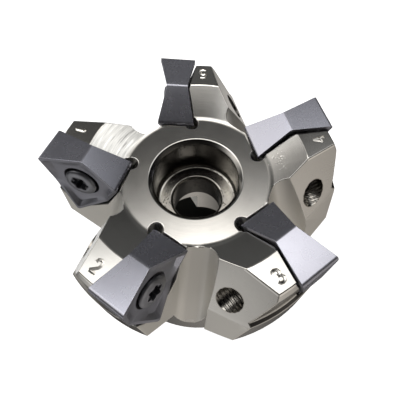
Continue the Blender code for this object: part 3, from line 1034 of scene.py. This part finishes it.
@dataclass
class InsertSet:
    """The five double-sided inserts with honed edges."""

    frame: dict
    hone: float = 0.00008
    hone_segments: int = 2

    def build(self, index: int, material: bpy.types.Material) -> bpy.types.Object:
        """Model and dress one insert.

        Args:
            index: which tooth it sits on, from 0.
            material: its finish.

        Returns:
            The piece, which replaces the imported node.
        """
        node = f"insert_{index + 1}"
        piece = node_copy(self.frame, node, f"trigon_{index + 1}")
        apply_modifier(
            piece,
            "BEVEL",
            width=self.hone,
            segments=self.hone_segments,
            limit_method="ANGLE",
            angle_limit=SHARP_ANGLE,
        )
        smooth(piece)
        apply_modifier(piece, "WEIGHTED_NORMAL", keep_sharp=True, weight=NORMAL_WEIGHT)
        piece.data.materials.append(material)
        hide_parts(node)
        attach(piece, BODY)
        return piece


@dataclass
class InsertScrew:
    """Countersunk screw with a crowned head, a six-lobe recess and a rolled thread."""

    head_radius: float = 0.0035
    crown_radius: float = 0.0023
    crown_rise: float = 0.0003
    crown_fall: tuple = ((0.0029, 0.00020), (0.0032, 0.00010), (0.0034, -0.00004))
    rim_top: float = -0.0002
    rim_low: float = -0.0005
    cone_end: float = -0.0021
    shank_radius: float = 0.0023
    length: float = 0.0138
    neck_end: float = -0.0052
    neck_taper: float = 0.0003
    pitch: float = 0.0008
    root_radius: float = 0.00188
    thread_overlap: float = 0.0006
    lobes: int = 6
    lobe_outer: float = 0.00195
    lobe_inner: float = 0.00128
    lobe_depth: float = 0.0019
    punch_height: float = 0.003
    point_inset: float = 0.0005
    point_depth: float = 0.0003
    steps: int = 72
    # Share of one step round the recess within which a point of the punch is taken to lie on it.
    step_reach: float = 0.2
    edge_radius: float = 0.00004
    edge_segments: int = 2
    edge_turn: float = radians(35.0)

    def recess(self) -> bpy.types.Object:
        """Six-lobe punch with a pointed end."""
        bpy.ops.mesh.primitive_cylinder_add(
            vertices=self.steps, radius=self.lobe_outer, depth=self.punch_height
        )
        punch = bpy.context.active_object
        edit(punch)
        bpy.ops.mesh.select_all(action="SELECT")
        bpy.ops.transform.translate(value=(0, 0, self.punch_height / 2 - self.lobe_depth))
        bpy.ops.mesh.select_all(action="DESELECT")
        middle = (self.lobe_outer + self.lobe_inner) / 2
        swing = (self.lobe_outer - self.lobe_inner) / 2
        lobe_turn = tau / self.lobes
        for step in range(self.steps // (2 * self.lobes) + 1):
            angle = tau * step / self.steps
            radius = middle + swing * cos(self.lobes * angle)
            mesh = bmesh.from_edit_mesh(punch.data)
            for vertex in mesh.verts:
                turn = abs(Vector((vertex.co.x, vertex.co.y)).angle_signed(Vector((1, 0)))) % lobe_turn
                turn = min(turn, lobe_turn - turn)
                vertex.select_set(abs(turn - angle) < self.step_reach * tau / self.steps)
            bmesh.update_edit_mesh(punch.data)
            size = radius / self.lobe_outer
            bpy.ops.transform.resize(value=(size, size, 1), center_override=(0, 0, 0))
        close_edit()
        select_facing(punch, Vector((0, 0, -1)))
        bpy.ops.mesh.inset(thickness=self.point_inset)
        bpy.ops.transform.translate(value=(0, 0, -self.point_depth))
        close_edit()
        return punch

    def build(self, material: bpy.types.Material) -> bpy.types.Object:
        """Model one screw about its own axis.

        Args:
            material: its finish.

        Returns:
            The pattern piece, still at the origin.
        """
        profile = [(0.0, self.crown_rise), (self.crown_radius, self.crown_rise), *self.crown_fall]
        profile += [(self.head_radius, self.rim_top), (self.head_radius, self.rim_low)]
        neck_start = self.neck_end + self.neck_taper
        profile += [(self.shank_radius, self.cone_end), (self.shank_radius, neck_start)]
        profile += [(self.root_radius, self.neck_end), (0.0, self.neck_end)]
        screw = turned("screw_pattern", profile, self.steps)
        combine(screw, self.recess(), "DIFFERENCE")
        top = self.neck_end + self.thread_overlap
        rod = threaded_rod("thread", self.root_radius, self.shank_radius, self.pitch, -self.length, top)
        combine(screw, rod, "UNION")
        apply_modifier(
            screw,
            "BEVEL",
            width=self.edge_radius,
            segments=self.edge_segments,
            limit_method="ANGLE",
            angle_limit=self.edge_turn,
        )
        smooth(screw)
        screw.data.materials.append(material)
        return screw


@dataclass(frozen=True)
class PhotoCamera:
    """Camera that stands where the photograph's stood."""

    place: tuple[float, float, float] = (0.0017189, -0.0412401, 0.0990010)
    turn: float = radians(1.34)
    elevation: float = radians(60.916)
    roll: float = radians(-1.688)
    lens: float = 32.821
    sensor: float = 36.0
    nearest: float = 0.005

    def build(self) -> bpy.types.Object:
        """Make the camera and use it."""
        data = bpy.data.cameras.new("photo_camera")
        data.lens = self.lens
        data.sensor_width = self.sensor
        data.clip_start = self.nearest
        item = bpy.data.objects.new("photo_camera", data)
        bpy.context.scene.collection.objects.link(item)
        turn = Matrix.Rotation(self.turn, 4, "Z")
        tilt = Matrix.Rotation(pi / 2 - self.elevation, 4, "X")
        roll = Matrix.Rotation(self.roll, 4, "Z")
        item.matrix_world = Matrix.Translation(self.place) @ turn @ tilt @ roll
        bpy.context.scene.camera = item
        return item


@dataclass(frozen=True)
class Glow:
    """A soft patch of light in the surround, with its angles in degrees.

    The spread is how far from its middle the patch falls to half its strength.
    """

    azimuth: float
    height: float
    spread: float
    strength: float
    warmth: float = 0.0

    def direction(self) -> Vector:
        """Unit vector towards the patch."""
        azimuth, height = radians(self.azimuth), radians(self.height)
        return Vector((cos(azimuth) * cos(height), sin(azimuth) * cos(height), sin(height)))

    def tightness(self) -> float:
        """How fast the patch fades, for a falloff that is exponential in the cosine."""
        return log(2) / (1 - cos(radians(self.spread)))

    def colour(self) -> tuple[float, float, float]:
        """Red, green and blue of the patch."""
        return self.strength * (1 + self.warmth), self.strength, self.strength * (1 - self.warmth)


@dataclass(frozen=True)
class Studio:
    """Pale floor, and a dark surround with a window, a ceiling light and what the table throws back."""

    floor_size: float = 3.0
    floor_tone: float = 0.75
    painted_shadow_tone: float = 0.01
    painted_shadow_edge: Band = Band(0.023, 0.001)
    floor_grain: Grain = Grain(3.0)
    floor_mottle: float = 0.1
    floor_roughness: float = 0.9
    floor_glow: float = 1.0
    dome_segments: int = 48
    dome_rings: int = 24
    window: Glow = Glow(172, 40, 16, 2.3, 0.04)
    window_top: Glow = Glow(160, 67, 9, 3.3)
    window_side: Glow = Glow(140, 28, 8, 1.2)
    ceiling: Glow = Glow(86, 77, 10, 3.9, 0.03)
    ceiling_side: Glow = Glow(34, 58, 10, 1.7)
    far_wall: Glow = Glow(90, 32, 18, 0.14)
    table_back: Glow = Glow(146, -36, 9, 3.6)
    table_right: Glow = Glow(50, -30, 14, 1.1, 0.04)
    table_front: Glow = Glow(-75, -42, 30, 0.6, 0.06)
    table_left: Glow = Glow(-143, -28, 16, 0.85, 0.02)
    right_wall: Glow = Glow(-35, -8, 20, 0.6, 0.08)

    def glows(self) -> list[Glow]:
        """Every patch of light in the surround."""
        return [value for value in vars(self).values() if isinstance(value, Glow)]

    def floor(self) -> bpy.types.Object:
        """Lay the floor, with a painted shadow where the part covers it."""
        bpy.ops.mesh.primitive_grid_add(x_subdivisions=2, y_subdivisions=2, size=self.floor_size)
        item = bpy.context.active_object
        item.name = "floor"
        finish = Finish("floor_paint")
        where = finish.place()
        shade = finish.noise(where, self.floor_grain)
        reach = finish.node("ShaderNodeVectorMath", {"operation": "LENGTH"}, Vector=where)
        # Painted shadow: under the part the floor is dark and does not glow.
        unshadowed_floor = finish.value(reach, "Value").above(self.painted_shadow_edge)
        mottled = unshadowed_floor * (1 - self.floor_mottle + shade * self.floor_mottle)
        tones = [(0.0, (self.painted_shadow_tone,) * 3), (1.0, (self.floor_tone,) * 3)]
        finish.set(
            Base_Color=finish.ramp(mottled, tones),
            Roughness=self.floor_roughness,
            Emission_Color=finish.ramp(unshadowed_floor, [(0.0, BLACK), (1.0, WHITE)]),
            Emission_Strength=self.floor_glow,
        )
        item.data.materials.append(finish.material)
        item.visible_glossy = False
        item.visible_shadow = False
        return item

    def sky(self) -> None:
        """Paint the surround by direction."""
        world = bpy.data.worlds.new("surround")
        bpy.context.scene.world = world
        world.use_nodes = True
        nodes = Nodes(world.node_tree)
        direction = nodes.node("ShaderNodeTexCoord").outputs["Generated"]
        total: list[Socket] = []
        for glow in self.glows():
            dot = nodes.node("ShaderNodeVectorMath", {"operation": "DOT_PRODUCT"}, Vector=direction)
            dot.inputs[1].default_value = glow.direction()
            weight = ((nodes.value(dot, "Value") - 1.0) * glow.tightness()).apply("EXPONENT")
            bands = [weight * channel for channel in glow.colour()]
            total = [a + b for a, b in zip(total, bands)] if total else bands
        red, green, blue = total
        colour = nodes.node("ShaderNodeCombineColor", None, Red=red, Green=green, Blue=blue)
        nodes.fill(nodes.tree.nodes["Background"].inputs["Color"], colour.outputs[0])

    def backdrop(self, paint: bpy.types.Material) -> None:
        """Close the studio with a pale dome that only the camera sees."""
        bpy.ops.mesh.primitive_uv_sphere_add(
            segments=self.dome_segments, ring_count=self.dome_rings, radius=self.floor_size / 2
        )
        item = bpy.context.active_object
        item.name = "backdrop"
        bpy.ops.object.shade_smooth()
        item.data.materials.append(paint)
        item.visible_glossy = item.visible_diffuse = item.visible_shadow = item.visible_transmission = False

    def build(self) -> None:
        """Set up the floor, the backdrop, the surround and the colours of the picture."""
        floor = self.floor()
        self.backdrop(floor.data.materials[0])
        self.sky()
        bpy.context.scene.view_settings.view_transform = "Standard"


def main() -> None:
    """Load the frame, dress the part, and set up the studio."""
    logging.basicConfig(level=logging.INFO, format="%(name)s: %(message)s")
    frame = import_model()
    layout = ToothLayout()
    nickel = NickelPlate(layout).build()
    carbide = CoatedCarbide(layout).build()
    oxide = ScrewSteel().build()
    body = CutterBody(frame, layout).build(nickel)
    LOG.info("%s: %d faces", body.name, len(body.data.polygons))
    inserts = InsertSet(frame)
    pattern = InsertScrew().build(oxide)
    for index in range(TOOTH_COUNT):
        insert = inserts.build(index, carbide)
        LOG.info("%s: %d faces", insert.name, len(insert.data.polygons))
        screw = twin(pattern, f"screw_{index + 1}")
        place(screw, layout.screw(index))
        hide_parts(f"insert_screw_{index + 1}")
        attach(screw, BODY)
        LOG.info("%s: %d faces", screw.name, len(screw.data.polygons))
    bpy.data.objects.remove(pattern, do_unlink=True)
    Studio().build()
    PhotoCamera().build()


if __name__ == "__main__":
    main()
